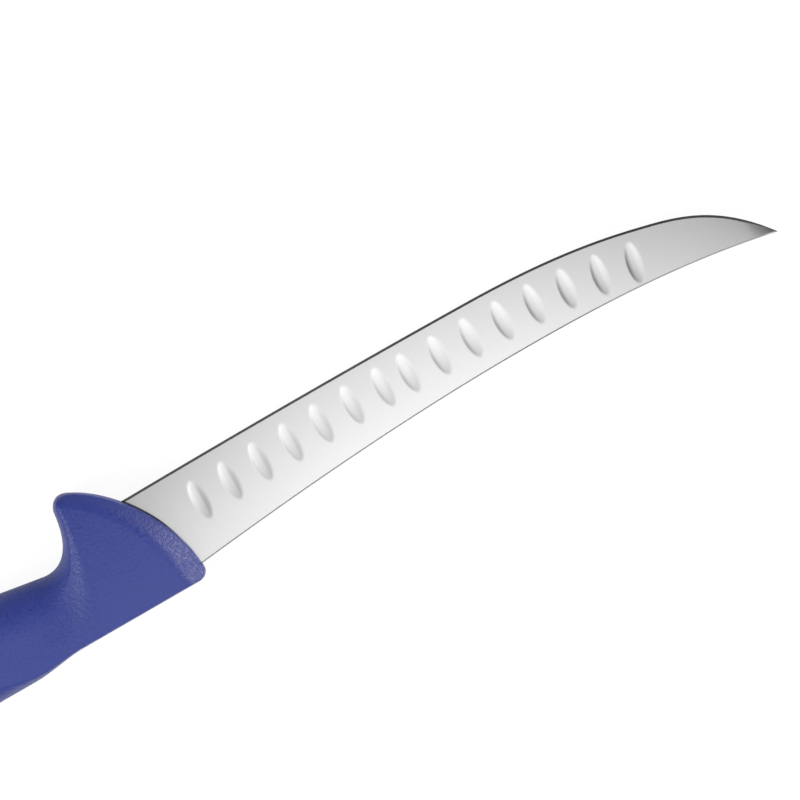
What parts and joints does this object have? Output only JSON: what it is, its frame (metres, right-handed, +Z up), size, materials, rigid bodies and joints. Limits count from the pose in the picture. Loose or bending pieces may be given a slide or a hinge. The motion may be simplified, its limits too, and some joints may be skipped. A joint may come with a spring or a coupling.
{
  "type": "cimeter knife",
  "caption": "Butcher's cimeter knife: an upswept blade with ground hollows on both faces, in a moulded plastic handle with a tall finger guard, a finger rest and a palm swell.",
  "frame": {"origin": "middle of the flat cheek that the knife lies on, on the bolster behind the guard's front, where a pinch grip holds it", "axes": "+X along the knife towards the tip, +Y across the blade towards the cutting edge, +Z up, square to the blade's side"},
  "size_m": [0.3378, 0.0462, 0.022],
  "materials": {
    "steel": "satin cross-ground stainless steel, brighter in the hollows, with a dark polished cutting bevel",
    "plastic": "blue moulded plastic with a fine pebbled grain"
  },
  "bodies": {
    "root": {"blade": "steel", "handle": "plastic"}
  },
  "joints": []
}
